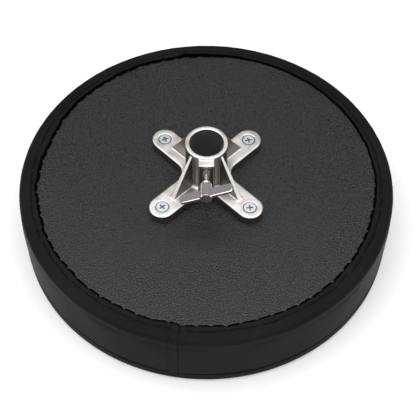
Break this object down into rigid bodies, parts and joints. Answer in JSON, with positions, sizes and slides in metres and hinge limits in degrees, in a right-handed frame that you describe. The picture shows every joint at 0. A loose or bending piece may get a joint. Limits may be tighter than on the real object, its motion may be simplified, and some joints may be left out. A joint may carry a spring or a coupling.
{
  "type": "drum throne seat",
  "caption": "Round upholstered drum stool seat with a cast four-arm clamp bracket and wing screw, lying on its seat face.",
  "frame": {"origin": "middle of the seat face, which rests on the ground, so the seat is upside down compared with use", "axes": "+Z out of the mouth of the post socket, -Y towards the wing head of the clamp screw, +X to the right of it"},
  "size_m": [0.3, 0.3, 0.1063],
  "materials": {
    "seat_vinyl": "black upholstery vinyl, fine grain, low sheen",
    "side_vinyl": "black upholstery vinyl, fine grain, low sheen",
    "foam": "cut polyurethane foam",
    "plywood": "bare plywood",
    "leathercloth": "black leathercloth, pebbled grain, matt",
    "cast_aluminium": "satin as cast, with an open fine grain",
    "zinc_plate": "bright blue zinc plate",
    "chrome": "polished nickel chrome"
  },
  "bodies": {
    "seat": {"seat_panel": "seat_vinyl", "side_band": "side_vinyl", "foam_pad": "foam", "base_board": "plywood", "bottom_panel": "leathercloth", "socket_bracket": "cast_aluminium", "bracket_screw_back_left": "zinc_plate", "bracket_screw_back_right": "zinc_plate", "bracket_screw_front_left": "zinc_plate", "bracket_screw_front_right": "zinc_plate", "tee_nut_back_left": "zinc_plate", "tee_nut_back_right": "zinc_plate", "tee_nut_front_left": "zinc_plate", "tee_nut_front_right": "zinc_plate"},
    "clamp_screw": {"clamp_screw": "chrome"},
    "wing_head": {"wing_head": "chrome"}
  },
  "joints": [
    {"name": "screw_travel", "type": "slide", "parent": "seat", "child": "clamp_screw", "axis": [0, 1, 0], "range_m": [-0.0066, 0.0014]},
    {"name": "wing_turn", "type": "hinge", "parent": "clamp_screw", "child": "wing_head", "pos_m": [0, -0.0415, 0.0969], "axis": [0, 1, 0], "range_deg": [-1800, 360]}
  ],
  "couplings": [
    {"joint": "screw_travel", "follows": "wing_turn", "m_per_rad": 0.00020213}
  ]
}
